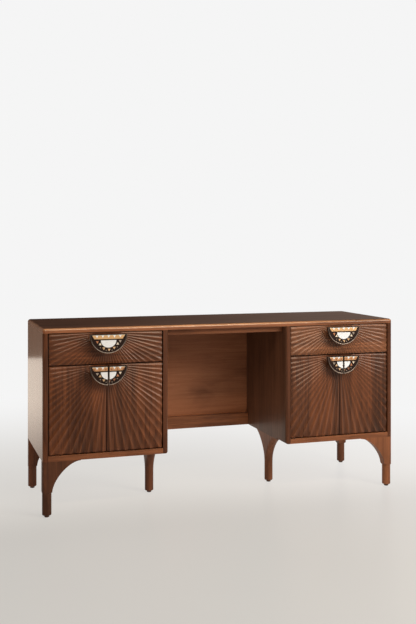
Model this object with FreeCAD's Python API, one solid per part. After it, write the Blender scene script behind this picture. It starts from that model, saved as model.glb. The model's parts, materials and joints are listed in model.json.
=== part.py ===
import FreeCAD, Part
import math
import os

from FreeCAD import Vector

# Office desk: two pedestals with sunburst-fluted fronts, half-moon pulls and six turned legs.
# Millimetres. X runs along the desk, Y from the front to the back, Z up from the floor.
# The origin is on the floor, under the middle of the desk's outer box with its pulls.

# Overall sizes
desk_width = 1580.0
desk_depth = 500.0
desk_height = 762.0
pedestal_width = 523.0
case_underside = 225.0

# Boards of the case
top_thickness = 20.0
top_edge_radius = 11.0
side_thickness = 22.0
bottom_thickness = 22.0
back_thickness = 9.0
corner_radius = 12.0
kneehole_edge_radius = 11.0

# Drawer and door fronts, inset between the sides
front_thickness = 22.0
front_recess = 2.5
front_gap = 3.0
drawer_front_height = 128.0

# Inside the pedestals
divider_thickness = 15.0
divider_setback = 2.0
shelf_thickness = 18.0
shelf_setback = 40.0
shelf_side_gap = 1.0
shelf_height_share = 0.46
cleat_size = 15.0
cleat_end_gap = 30.0

# Knee-hole boards
apron_height = 26.0
apron_thickness = 22.0
apron_setback = 40.0
modesty_thickness = 12.0
modesty_rail_height = 57.0
modesty_rail_thickness = 22.0

# Legs: a square post above, turned to a round peg below, with an arched bracket
post_size = 38.5
peg_inset = 0.5
pommel_height = 5.0
foot_radius = 4.0
bracket_tip = 2.0
corner_arch_reach = 116.0
corner_arch_rise = 126.0
inner_arch_reach = 128.0
inner_arch_rise = 124.0
inner_rounding_share = 0.95
arch_share = 0.42
glide_diameter = 20.0
glide_height = 8.0
glide_edge_chamfer = 1.5

# Sunburst fluting: conical flutes that fan out from the middle of each front's top edge
flutes_per_half_turn = 36
flute_land_share = 0.06
flute_depth_share = 0.0131
seat_margin = 3.0
seat_depth = 1.0

# Half-moon pulls: a cast tray on a neck, filled with inlay
pull_radius = 77.0
pull_tray_depth = 12.0
pull_neck_depth = 28.0
pull_lip = 30.0
pull_neck_drop = 6.0
pull_rim = 4.5
pull_top_rim = 1.5
pull_pocket_depth = 3.0
drawer_pull_drop = 4.0
door_pull_drop = 1.5
door_pull_inset = 1.0

# Inlay tiles, as shares of the pocket's radius
tile_thickness = 0.8
inlay_reveal = 0.2
tile_joint = 0.4
band_top_share = 0.94
band_bottom_share = 0.80
band_low_share = 0.25
disc_top_share = 0.31
disc_share = 0.43
ring_tile_count = 7
ring_share = 0.60
ring_sweep_share = 0.86
ring_tile_share = 0.085

# Door pivots: plates in the gaps above and below each door, with a pin in a bush
pivot_inset = 20.0
pivot_setback = 10.0
pivot_plate_thickness = 2.0
pivot_plate_width = 12.0
pivot_plate_length = 48.0
pivot_clearance = 1.0
pivot_pin_diameter = 5.0
pivot_pin_reach = 9.0
pivot_bush_wall = 1.5
pivot_bush_length = 10.0
pivot_running_gap = 0.05

# Magnetic catches under the divider
catch_length = 34.0
catch_depth = 14.0
catch_height = 12.0
catch_gap = 0.4
catch_offset = 52.0

# Drawer boxes and their three-part slides
drawer_side_thickness = 12.0
drawer_back_thickness = 12.0
drawer_bottom_thickness = 6.0
drawer_bottom_lift = 10.0
drawer_groove_depth = 6.0
drawer_groove_gap = 0.3
drawer_lift = 4.0
drawer_headroom = 14.0
drawer_rear_space = 66.0
slide_space = 12.7
slide_height = 42.0
slide_gauge = 1.2
slide_gap = 0.4
slide_flange_gap = 0.8
slide_end_gap = 2.0

# How far cutting tools run past what they cut
overrun = 5.0

# Places worked out from the sizes above
pull_projection = pull_tray_depth + pull_neck_depth - front_recess
front_y = (pull_projection - desk_depth) / 2
back_y = front_y + desk_depth
middle_y = (front_y + back_y) / 2
face_y = front_y + front_recess
front_back_y = face_y + front_thickness
inside_back_y = back_y - back_thickness
top_underside = desk_height - top_thickness
case_floor = case_underside + bottom_thickness
inner_width = pedestal_width - 2 * side_thickness
pedestal_centre = (desk_width - pedestal_width) / 2
kneehole_width = desk_width - 2 * pedestal_width

drawer_front_top = top_underside - front_gap
drawer_front_bottom = drawer_front_top - drawer_front_height
drawer_front_width = inner_width - 2 * front_gap
door_top = drawer_front_bottom - 2 * pivot_clearance - pivot_plate_thickness
door_bottom = case_floor + pivot_clearance + pivot_plate_thickness
door_width = (inner_width - 3 * front_gap) / 2

divider_bottom = door_top + pivot_clearance + pivot_plate_thickness
divider_top = divider_bottom + divider_thickness
divider_y = front_back_y + divider_setback
shelf_bottom = case_floor + shelf_height_share * (divider_bottom - case_floor)

peg_radius = post_size / 2 - peg_inset
inner_leg_reach = peg_radius + inner_arch_reach
neck_radius = pull_radius - pull_lip
pocket_radius = pull_radius - pull_rim
seat_radius = max(drawer_pull_drop, door_pull_drop) + pull_neck_drop + neck_radius + seat_margin

pivot_x = inner_width / 2 - front_gap - pivot_inset
pivot_y = face_y + pivot_setback
pivot_bush_bore = pivot_pin_diameter / 2 + pivot_running_gap
pivot_bush_radius = pivot_bush_bore + pivot_bush_wall

drawer_box_bottom = divider_top + drawer_lift
drawer_box_top = drawer_front_top - drawer_headroom
drawer_box_back = inside_back_y - drawer_rear_space
drawer_half_width = inner_width / 2 - slide_space
drawer_bottom_z = drawer_box_bottom + drawer_bottom_lift
slide_middle = (drawer_box_bottom + drawer_box_top) / 2

# How near an edge's ends must be to a plane to lie on it
on_plane = 0.001

sides = {"left": -1, "right": 1}
nodes = {}


# Shared shapes

def board(x_low, x_high, y_low, y_high, z_low, z_high):
    """A square-edged board between two corners."""
    corner = Vector(x_low, y_low, z_low)
    return Part.makeBox(x_high - x_low, y_high - y_low, z_high - z_low, corner)


def mirrored_x(shape):
    return shape.mirror(Vector(0, 0, 0), Vector(1, 0, 0))


def mirrored_y(shape, plane_y):
    return shape.mirror(Vector(0, plane_y, 0), Vector(0, 1, 0))


def moved_x(shape, distance):
    copy = shape.copy()
    copy.translate(Vector(distance, 0, 0))
    return copy


def edges_on(shape, **planes):
    """The edges whose ends all lie on the given planes, such as x=0 and z=10."""
    found = []
    for edge in shape.Edges:
        if all(abs(getattr(vertex.Point, axis) - value) < on_plane
               for vertex in edge.Vertexes for axis, value in planes.items()):
            found.append(edge)
    return found


def edges_between(shape, low, high):
    """The edges that start at one height and end at another."""
    found = []
    for edge in shape.Edges:
        heights = sorted(vertex.Z for vertex in edge.Vertexes)
        if abs(heights[0] - low) < on_plane and abs(heights[-1] - high) < on_plane:
            found.append(edge)
    return found


def prism(edges, direction):
    """A solid swept from a closed outline of edges."""
    outline = Part.Wire(edges)
    return Part.Face(outline).extrude(direction)


def line(start, end):
    return Part.LineSegment(start, end).toShape()


def arch(start, corner, end):
    """A curve that leaves start towards the corner and arrives at end from it."""
    curve = Part.BezierCurve()
    first = start + (corner - start) * arch_share
    second = end + (corner - end) * arch_share
    curve.setPoles([start, first, second, end])
    return curve.toShape()


def polygon(points):
    return [line(a, b) for a, b in zip(points, points[1:] + points[:1])]


# Case

def make_desktop():
    """The slab, flush with the sides, with its upright corners and top edge rounded."""
    slab = board(-desk_width / 2, desk_width / 2, front_y, back_y, top_underside, desk_height)
    uprights = []
    for x in (-desk_width / 2, desk_width / 2):
        for y in (front_y, back_y):
            uprights += edges_on(slab, x=x, y=y)
    slab = slab.makeFillet(corner_radius, uprights)
    return slab.makeFillet(top_edge_radius, edges_on(slab, z=desk_height))


def make_outer_side():
    """The outer side of the right pedestal, rounded at its two outer corners."""
    outside = desk_width / 2
    panel = board(outside - side_thickness, outside, front_y, back_y, case_underside, top_underside)
    corners = edges_on(panel, x=outside, y=front_y) + edges_on(panel, x=outside, y=back_y)
    return panel.makeFillet(corner_radius, corners)


def make_inner_side():
    """The knee-hole side of the right pedestal, round at the front and below as far as the leg's bracket."""
    inside = kneehole_width / 2
    stop_y = middle_y - inner_leg_reach
    front = board(inside, inside + side_thickness, front_y, stop_y, case_underside, top_underside)
    rounded = edges_on(front, x=inside, y=front_y) + edges_on(front, x=inside, z=case_underside)
    front = front.makeFillet(kneehole_edge_radius, rounded)
    rear = board(inside, inside + side_thickness, stop_y, back_y, case_underside, top_underside)
    return front.fuse(rear).removeSplitter()


def make_pedestal_boards(side, centre):
    half = inner_width / 2
    left, right = centre - half, centre + half
    nodes[side + "_bottom_panel"] = board(
        left, right, front_y, inside_back_y, case_underside, case_floor)
    nodes[side + "_back_panel"] = board(
        left, right, inside_back_y, back_y, case_underside, top_underside)
    nodes[side + "_divider"] = board(
        left, right, divider_y, inside_back_y, divider_bottom, divider_top)
    nodes[side + "_shelf"] = board(
        left + shelf_side_gap, right - shelf_side_gap, front_back_y + shelf_setback, inside_back_y,
        shelf_bottom, shelf_bottom + shelf_thickness)


def make_cleats(centre):
    """Two battens on the sides that carry the shelf."""
    half = inner_width / 2
    front = front_back_y + shelf_setback + cleat_end_gap
    back = inside_back_y - cleat_end_gap
    low = shelf_bottom - cleat_size
    left = board(centre - half, centre - half + cleat_size, front, back, low, shelf_bottom)
    right = board(centre + half - cleat_size, centre + half, front, back, low, shelf_bottom)
    return [left, right]


def make_kneehole():
    half = kneehole_width / 2
    apron_y = front_y + apron_setback
    nodes["kneehole_apron"] = board(
        -half, half, apron_y, apron_y + apron_thickness, top_underside - apron_height, top_underside)
    panel_y = back_y - modesty_thickness
    nodes["modesty_panel"] = board(-half, half, panel_y, back_y, case_underside, top_underside)
    nodes["modesty_rail"] = board(
        -half, half, panel_y - modesty_rail_thickness, panel_y,
        case_underside, case_underside + modesty_rail_height)


# Legs

def turned(points_and_arcs):
    """A solid of revolution about Z from the edges of a half outline in the XZ plane."""
    face = Part.Face(Part.Wire(points_and_arcs))
    return face.revolve(Vector(0, 0, 0), Vector(0, 0, 1), 360)


def turned_peg(shoulder, top, top_radius):
    """The round peg with its rounded foot, drawn in to top_radius between shoulder and top."""
    foot = glide_height
    axis_low = Vector(0, 0, foot)
    foot_inner = Vector(peg_radius - foot_radius, 0, foot)
    foot_outer = Vector(peg_radius, 0, foot + foot_radius)
    bulge = foot_radius * math.sqrt(0.5)
    foot_middle = Vector(peg_radius - foot_radius + bulge, 0, foot + foot_radius - bulge)
    shoulder_point = Vector(peg_radius, 0, shoulder)
    top_outer = Vector(top_radius, 0, top)
    axis_high = Vector(0, 0, top)
    return turned([
        line(axis_low, foot_inner),
        Part.Arc(foot_inner, foot_middle, foot_outer).toShape(),
        line(foot_outer, shoulder_point),
        line(shoulder_point, top_outer),
        line(top_outer, axis_high),
        line(axis_high, axis_low)])


def pommel_cutter(shoulder):
    """The ring that turns the square post's lower end down to the peg, on the Z axis."""
    post_corner = post_size / math.sqrt(2)
    slope = pommel_height / (post_corner - peg_radius)
    outer = post_corner + overrun
    rise = slope * (outer - peg_radius)
    return turned(polygon([
        Vector(peg_radius, 0, shoulder),
        Vector(outer, 0, shoulder + rise),
        Vector(outer, 0, shoulder - overrun),
        Vector(peg_radius, 0, shoulder - overrun)]))


def make_corner_leg():
    """The front right leg: its bracket arches to the left along the front of the case."""
    outside = desk_width / 2
    inside = outside - post_size
    arch_top = case_underside - bracket_tip
    shoulder = arch_top - corner_arch_rise
    tip = inside - corner_arch_reach
    arch_foot = Vector(inside, front_y, shoulder)
    arch_end = Vector(tip, front_y, arch_top)
    block = prism([
        line(Vector(outside, front_y, shoulder), Vector(outside, front_y, case_underside)),
        line(Vector(outside, front_y, case_underside), Vector(tip, front_y, case_underside)),
        line(Vector(tip, front_y, case_underside), arch_end),
        arch(arch_end, Vector(inside, front_y, arch_top), arch_foot),
        line(arch_foot, Vector(outside, front_y, shoulder))], Vector(0, post_size, 0))
    block = block.makeFillet(corner_radius, edges_on(block, x=outside, y=front_y))
    post_axis = Vector(outside - post_size / 2, front_y + post_size / 2, 0)
    ring = pommel_cutter(shoulder)
    ring.translate(post_axis)
    peg = turned_peg(shoulder, shoulder + overrun, peg_radius - overrun)
    peg.translate(post_axis)
    return block.cut(ring).fuse(peg).removeSplitter()


def make_inner_leg():
    """The leg under the right pedestal's knee-hole side: its round-edged bracket arches to front and back."""
    left = kneehole_width / 2
    thickness = 2 * peg_radius
    arch_top = case_underside - bracket_tip
    shoulder = arch_top - inner_arch_rise
    reach = inner_leg_reach
    high = case_underside + thickness

    def at(y, z):
        return Vector(left, middle_y + y, z)

    bracket = prism([
        line(at(-peg_radius, shoulder), at(peg_radius, shoulder)),
        arch(at(peg_radius, shoulder), at(peg_radius, arch_top), at(reach, arch_top)),
        line(at(reach, arch_top), at(reach, high)),
        line(at(reach, high), at(-reach, high)),
        line(at(-reach, high), at(-reach, arch_top)),
        arch(at(-reach, arch_top), at(-peg_radius, arch_top), at(-peg_radius, shoulder))],
        Vector(thickness, 0, 0))
    arches = edges_between(bracket, shoulder, arch_top)
    bracket = bracket.makeFillet(inner_rounding_share * peg_radius, arches)
    above = board(left - overrun, left + thickness + overrun, middle_y - reach - overrun,
                  middle_y + reach + overrun, case_underside, high + overrun)
    axis = Vector(left + peg_radius, middle_y, 0)
    peg = turned_peg(shoulder, shoulder + overrun, peg_radius - overrun)
    peg.translate(axis)
    return bracket.cut(above).fuse(peg).removeSplitter(), axis


def make_glide(place):
    """A dark foot glide under one leg."""
    glide = Part.makeCylinder(glide_diameter / 2, glide_height, place)
    return glide.makeChamfer(glide_edge_chamfer, edges_on(glide, z=0))


def make_legs():
    corner_leg = make_corner_leg()
    inner_leg, inner_axis = make_inner_leg()
    rear_leg = mirrored_y(corner_leg, middle_y)
    nodes["right_front_leg"] = corner_leg
    nodes["left_front_leg"] = mirrored_x(corner_leg)
    nodes["right_rear_leg"] = rear_leg
    nodes["left_rear_leg"] = mirrored_x(rear_leg)
    nodes["right_inner_leg"] = inner_leg
    nodes["left_inner_leg"] = mirrored_x(inner_leg)
    corner_x = (desk_width - post_size) / 2
    corner_y = front_y + post_size / 2
    glides = []
    for sign in sides.values():
        glides.append(make_glide(Vector(sign * corner_x, corner_y, 0)))
        glides.append(make_glide(Vector(sign * corner_x, 2 * middle_y - corner_y, 0)))
        glides.append(make_glide(Vector(sign * inner_axis.x, inner_axis.y, 0)))
    nodes["leg_glides"] = Part.makeCompound(glides)


# Fluted fronts

def flute_cutters(first, last, centre_z, reach):
    """Cones that cut flutes number first to last, clockwise from the one along the top edge's right half."""
    pitch = math.pi / flutes_per_half_turn
    half_width = math.tan(pitch / 2 * (1 - flute_land_share))
    lift = (half_width ** 2 - flute_depth_share ** 2) / (2 * flute_depth_share)
    half_angle = math.atan(lift) + math.atan(flute_depth_share)
    spread = math.tan(half_angle)
    centre = Vector(0, face_y, centre_z)
    start = seat_radius - overrun
    cutters = []
    for number in range(first, last + 1):
        angle = number * pitch
        axis = Vector(math.cos(angle), -lift, -math.sin(angle))
        axis.normalize()
        tip = centre + axis * start
        cutters.append(Part.makeCone(start * spread, reach * spread, reach - start, tip, axis))
    return cutters


def pull_seat(top_z):
    """The flat half disc, sunk in a front, that the flutes run out of and the pull's neck stands on."""
    return prism(half_moon(seat_radius, top_z, face_y), Vector(0, seat_depth, 0))


def make_drawer_front():
    half = drawer_front_width / 2
    front = board(-half, half, face_y, front_back_y, drawer_front_bottom, drawer_front_top)
    reach = math.hypot(half, drawer_front_height) + overrun
    flutes = flute_cutters(0, flutes_per_half_turn, drawer_front_top, reach)
    return front.cut(flutes).cut(pull_seat(drawer_front_top))


def make_right_door():
    """The right door of a pair: half the sunburst, with a bush hole in its top and bottom edge."""
    left = front_gap / 2
    door = board(left, left + door_width, face_y, front_back_y, door_bottom, door_top)
    reach = math.hypot(left + door_width, door_top - door_bottom) + overrun
    flutes = flute_cutters(0, flutes_per_half_turn // 2, door_top, reach)
    door = door.cut(flutes).cut(pull_seat(door_top))
    holes = []
    for low in (door_bottom, door_top - pivot_bush_length):
        holes.append(Part.makeCylinder(pivot_bush_radius, pivot_bush_length, Vector(pivot_x, pivot_y, low)))
    return door.cut(holes)


# Half-moon pulls

def half_moon(radius, top_z, y):
    """The outline edges of a half disc that hangs from a level top edge."""
    left = Vector(-radius, y, top_z)
    right = Vector(radius, y, top_z)
    low = Vector(0, y, top_z - radius)
    return [line(left, right), Part.Arc(right, low, left).toShape()]


def right_of(shape, cut_x):
    """The part of a shape to the right of an upright plane."""
    limits = shape.BoundBox
    keep = board(cut_x, max(limits.XMax, cut_x) + overrun, limits.YMin - overrun, limits.YMax + overrun,
                 limits.ZMin - overrun, limits.ZMax + overrun)
    return shape.common(keep)


def make_half_pull(top_z):
    """The whole cast pull: a shallow tray with a rim, on a neck that leaves room for fingers."""
    neck_y = face_y - pull_neck_depth
    pull_y = neck_y - pull_tray_depth
    tray = prism(half_moon(pull_radius, top_z, neck_y), Vector(0, -pull_tray_depth, 0))
    pocket = prism(half_moon(pocket_radius, top_z - pull_top_rim, pull_y), Vector(0, pull_pocket_depth, 0))
    seat_y = face_y + seat_depth
    neck = prism(half_moon(neck_radius, top_z - pull_neck_drop, seat_y), Vector(0, neck_y - seat_y, 0))
    return tray.cut(pocket).fuse(neck).removeSplitter()


def make_tiles(top_z):
    """The dark field and the tiles that lie on it, in the tray's pocket."""
    floor_y = face_y - pull_neck_depth - pull_tray_depth + pull_pocket_depth
    tile_y = floor_y - pull_pocket_depth + inlay_reveal + tile_thickness
    pocket_top = top_z - pull_top_rim
    radius = pocket_radius
    field = prism(half_moon(radius, pocket_top, floor_y), Vector(0, tile_y - floor_y, 0))
    depth = Vector(0, -tile_thickness, 0)

    def at(x, z):
        return Vector(x, tile_y, pocket_top + z)

    band_low = -radius * band_low_share
    band = prism(polygon([
        at(-radius * band_top_share, -tile_joint), at(radius * band_top_share, -tile_joint),
        at(radius * band_bottom_share, band_low), at(-radius * band_bottom_share, band_low)]), depth)
    disc_top = pocket_top - radius * disc_top_share
    disc = prism(half_moon(radius * disc_share, disc_top, tile_y), depth)
    tiles = [band, disc]
    size = radius * ring_tile_share
    for number in range(ring_tile_count):
        step = number / (ring_tile_count - 1) - 1 / 2
        angle = step * math.pi * ring_sweep_share
        middle = at(radius * ring_share * math.sin(angle),
                    -radius * disc_top_share - radius * ring_share * math.cos(angle))
        tiles.append(make_ring_tile(middle, size, angle, number % 2 == 0, depth))
    return field, tiles


def make_ring_tile(middle, size, angle, outward, depth):
    """A three-sided tile that points away from the disc or towards it."""
    heading = angle if outward else angle + math.pi
    points = []
    for corner in range(3):
        turn = heading + corner * 2 * math.pi / 3
        points.append(middle + Vector(size * math.sin(turn), 0, -size * math.cos(turn)))
    return prism(polygon(points), depth)


def make_drawer_pull():
    top_z = drawer_front_top - drawer_pull_drop
    field, tiles = make_tiles(top_z)
    return make_half_pull(top_z), Part.makeCompound([field] + tiles)


def make_right_door_pull():
    """Half of the pull, beside the gap between the doors, with its own rim along the cut."""
    top_z = door_top - door_pull_drop
    cut_x = front_gap / 2 + door_pull_inset
    whole = make_half_pull(top_z)
    pocket_x = cut_x + pull_top_rim
    tray_y = face_y - pull_neck_depth - pull_tray_depth
    wall = prism(half_moon(pocket_radius, top_z - pull_top_rim, tray_y), Vector(0, pull_pocket_depth, 0))
    wall = wall.common(board(cut_x, pocket_x, tray_y, face_y, top_z - pull_radius, top_z))
    pull = right_of(whole, cut_x).fuse(wall).removeSplitter()
    field, tiles = make_tiles(top_z)
    tiles = [right_of(tile, pocket_x + tile_joint) for tile in tiles]
    kept = [tile for tile in tiles if tile.Solids]
    return pull, Part.makeCompound([right_of(field, pocket_x)] + kept)


# Door hardware

def make_pivot_plate(low):
    """A plate on the right side of a pedestal, round at the front, with a hole for its pin."""
    half = pivot_plate_width / 2
    back = pivot_y + pivot_plate_length
    left_front = Vector(pivot_x - half, pivot_y, low)
    right_front = Vector(pivot_x + half, pivot_y, low)
    nose = Vector(pivot_x, pivot_y - half, low)
    plate = prism([
        Part.Arc(left_front, nose, right_front).toShape(),
        line(right_front, Vector(pivot_x + half, back, low)),
        line(Vector(pivot_x + half, back, low), Vector(pivot_x - half, back, low)),
        line(Vector(pivot_x - half, back, low), left_front)], Vector(0, 0, pivot_plate_thickness))
    hole = Part.makeCylinder(pivot_pin_diameter / 2, pivot_plate_thickness, Vector(pivot_x, pivot_y, low))
    return plate.cut(hole)


def make_pivots():
    """The plates and pins at the right side of a pedestal, and the bushes in its right door."""
    lower_plate = case_floor
    upper_plate = divider_bottom - pivot_plate_thickness
    pin_length = pivot_plate_thickness + pivot_clearance + pivot_pin_reach
    pin_radius = pivot_pin_diameter / 2
    lower_pin = Part.makeCylinder(pin_radius, pin_length, Vector(pivot_x, pivot_y, lower_plate))
    upper_pin = Part.makeCylinder(
        pin_radius, pin_length, Vector(pivot_x, pivot_y, divider_bottom - pin_length))
    bushes = []
    for low in (door_bottom, door_top - pivot_bush_length):
        place = Vector(pivot_x, pivot_y, low)
        outer = Part.makeCylinder(pivot_bush_radius, pivot_bush_length, place)
        bushes.append(outer.cut(Part.makeCylinder(pivot_bush_bore, pivot_bush_length, place)))
    return [make_pivot_plate(lower_plate), make_pivot_plate(upper_plate)], [lower_pin, upper_pin], bushes


def make_catch():
    """A magnetic catch under the divider, behind the free edge of a right door."""
    front = front_back_y + catch_gap
    return board(catch_offset - catch_length / 2, catch_offset + catch_length / 2, front, front + catch_depth,
                 divider_bottom - catch_height, divider_bottom)


# Drawer boxes

def channel(web_x, lip_x, half_height, y_low, y_high):
    """A rolled channel along Y: a web at web_x and two flanges that reach to lip_x."""
    towards = 1 if lip_x > web_x else -1
    inner_x = web_x + towards * slide_gauge
    inner_half = half_height - slide_gauge
    low, high = slide_middle - half_height, slide_middle + half_height
    inner_low, inner_high = slide_middle - inner_half, slide_middle + inner_half
    outline = [(web_x, low), (lip_x, low), (lip_x, inner_low), (inner_x, inner_low),
               (inner_x, inner_high), (lip_x, inner_high), (lip_x, high), (web_x, high)]
    points = [Vector(x, y_low, z) for x, z in outline]
    return prism(polygon(points), Vector(0, y_high - y_low, 0))


def make_right_slide():
    """The nested channels of the slide on the right side of a drawer: case, carrier and drawer."""
    case_x = inner_width / 2
    drawer_x = drawer_half_width
    y_low = front_back_y + slide_end_gap
    y_high = drawer_box_back
    step = slide_gauge + slide_gap
    carrier_x = case_x - step
    carrier_half = slide_height / 2 - step
    case_member = channel(case_x, drawer_x + slide_gauge + slide_flange_gap, slide_height / 2, y_low, y_high)
    carrier = channel(carrier_x, drawer_x + slide_gauge + slide_gap, carrier_half, y_low, y_high)
    drawer_member = channel(drawer_x, carrier_x - step, carrier_half - step, y_low, y_high)
    return case_member, carrier, drawer_member


def make_drawer_box():
    """The right side, the back and the bottom of a drawer box; the bottom slides in two grooves."""
    outside = drawer_half_width
    inside = outside - drawer_side_thickness
    side = board(inside, outside, front_back_y, drawer_box_back, drawer_box_bottom, drawer_box_top)
    groove_x = inside + drawer_groove_depth
    groove = board(inside - overrun, groove_x, front_back_y - overrun, drawer_box_back + overrun,
                   drawer_bottom_z, drawer_bottom_z + drawer_bottom_thickness + drawer_groove_gap)
    side = side.cut(groove)
    bottom_half = groove_x - drawer_groove_gap
    bottom_top = drawer_bottom_z + drawer_bottom_thickness
    bottom = board(-bottom_half, bottom_half, front_back_y, drawer_box_back, drawer_bottom_z, bottom_top)
    back = board(-inside, inside, drawer_box_back - drawer_back_thickness, drawer_box_back,
                 bottom_top, drawer_box_top)
    return side, back, bottom


# Assembly

def build():
    outer_side = make_outer_side()
    inner_side = make_inner_side()
    nodes["desktop"] = make_desktop()
    nodes["right_outer_side"] = outer_side
    nodes["left_outer_side"] = mirrored_x(outer_side)
    nodes["right_inner_side"] = inner_side
    nodes["left_inner_side"] = mirrored_x(inner_side)
    make_kneehole()
    make_legs()

    drawer_front = make_drawer_front()
    drawer_pull, drawer_inlay = make_drawer_pull()
    drawer_side, drawer_back, drawer_bottom = make_drawer_box()
    case_member, carrier, drawer_member = make_right_slide()
    door = make_right_door()
    door_pull, door_inlay = make_right_door_pull()
    plates, pins, bushes = make_pivots()
    catch = make_catch()
    groups = {"shelf_cleats": [], "slide_case_channels": [], "pivot_plates": [], "pivot_pins": [],
              "door_catches": []}

    def pair(shape, centre):
        return [moved_x(shape, centre), moved_x(mirrored_x(shape), centre)]

    for side, sign in sides.items():
        centre = sign * pedestal_centre
        make_pedestal_boards(side, centre)
        groups["shelf_cleats"] += make_cleats(centre)
        groups["slide_case_channels"] += pair(case_member, centre)
        nodes[side + "_slide_carriers"] = Part.makeCompound(pair(carrier, centre))
        nodes[side + "_drawer_runners"] = Part.makeCompound(pair(drawer_member, centre))
        nodes[side + "_drawer_sides"] = Part.makeCompound(pair(drawer_side, centre))
        nodes[side + "_drawer_front"] = moved_x(drawer_front, centre)
        nodes[side + "_drawer_back"] = moved_x(drawer_back, centre)
        nodes[side + "_drawer_bottom"] = moved_x(drawer_bottom, centre)
        nodes[side + "_drawer_pull"] = moved_x(drawer_pull, centre)
        nodes[side + "_drawer_inlay"] = moved_x(drawer_inlay, centre)
        for plate in plates:
            groups["pivot_plates"] += pair(plate, centre)
        for pin in pins:
            groups["pivot_pins"] += pair(pin, centre)
        groups["door_catches"] += pair(catch, centre)
        door_names = {1: side + "_pedestal_right_door", -1: side + "_pedestal_left_door"}
        for hand, name in door_names.items():
            for piece, shape in (("", door), ("_pull", door_pull), ("_inlay", door_inlay),
                                 ("_bushes", Part.makeCompound(bushes))):
                handed = shape if hand > 0 else mirrored_x(shape)
                nodes[name + piece] = moved_x(handed, centre)
    for name, shapes in groups.items():
        nodes[name] = Part.makeCompound(shapes)


build()
os.makedirs("parts", exist_ok=True)
for name, shape in nodes.items():
    shape.exportStep("parts/" + name + ".step")
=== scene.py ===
import json
import math

import bmesh
import bpy
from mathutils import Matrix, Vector


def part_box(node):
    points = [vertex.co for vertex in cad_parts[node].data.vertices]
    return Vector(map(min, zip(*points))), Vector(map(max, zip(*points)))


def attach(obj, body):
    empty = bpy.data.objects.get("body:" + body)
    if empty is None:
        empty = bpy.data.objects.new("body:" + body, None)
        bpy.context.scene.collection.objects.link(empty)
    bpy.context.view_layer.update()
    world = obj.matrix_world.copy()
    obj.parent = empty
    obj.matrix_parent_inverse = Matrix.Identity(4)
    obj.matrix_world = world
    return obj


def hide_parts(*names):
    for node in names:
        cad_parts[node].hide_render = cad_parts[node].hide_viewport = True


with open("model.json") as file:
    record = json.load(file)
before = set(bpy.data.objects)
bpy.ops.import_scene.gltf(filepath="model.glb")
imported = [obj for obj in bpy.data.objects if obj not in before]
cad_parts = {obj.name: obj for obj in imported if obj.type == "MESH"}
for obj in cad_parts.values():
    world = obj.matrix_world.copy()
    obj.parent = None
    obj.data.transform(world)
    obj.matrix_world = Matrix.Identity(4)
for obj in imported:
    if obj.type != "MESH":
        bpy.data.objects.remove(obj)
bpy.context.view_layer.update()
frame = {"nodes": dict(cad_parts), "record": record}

# Office desk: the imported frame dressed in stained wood, with carved fronts and inlaid pulls.
# Metres. X runs along the desk, Y from the front to the back, Z up from the floor.

nodes = frame["nodes"]
body_of_node = {n: body for body, members in frame["record"]["behaviour"]["bodies"].items() for n in members}
slot_of_node = {part["node"]: part["material_slot"] for part in frame["record"]["subparts"]}
MM = 0.001
AXES = {"x": 0, "y": 1, "z": 2}

# Camera, fitted to the photograph's frame of 416 by 624 pixels
IMAGE_HEIGHT = 624
FOCAL_PIXELS = 904.85
PRINCIPAL_ROW = 243.1
CAMERA_PLACE = (-1.288, -3.889, 1.106)
CAMERA_YAW = -18.11
SENSOR = 36.0


# Node helpers

NOISE_SPAN = (0.2, 0.8)


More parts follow.
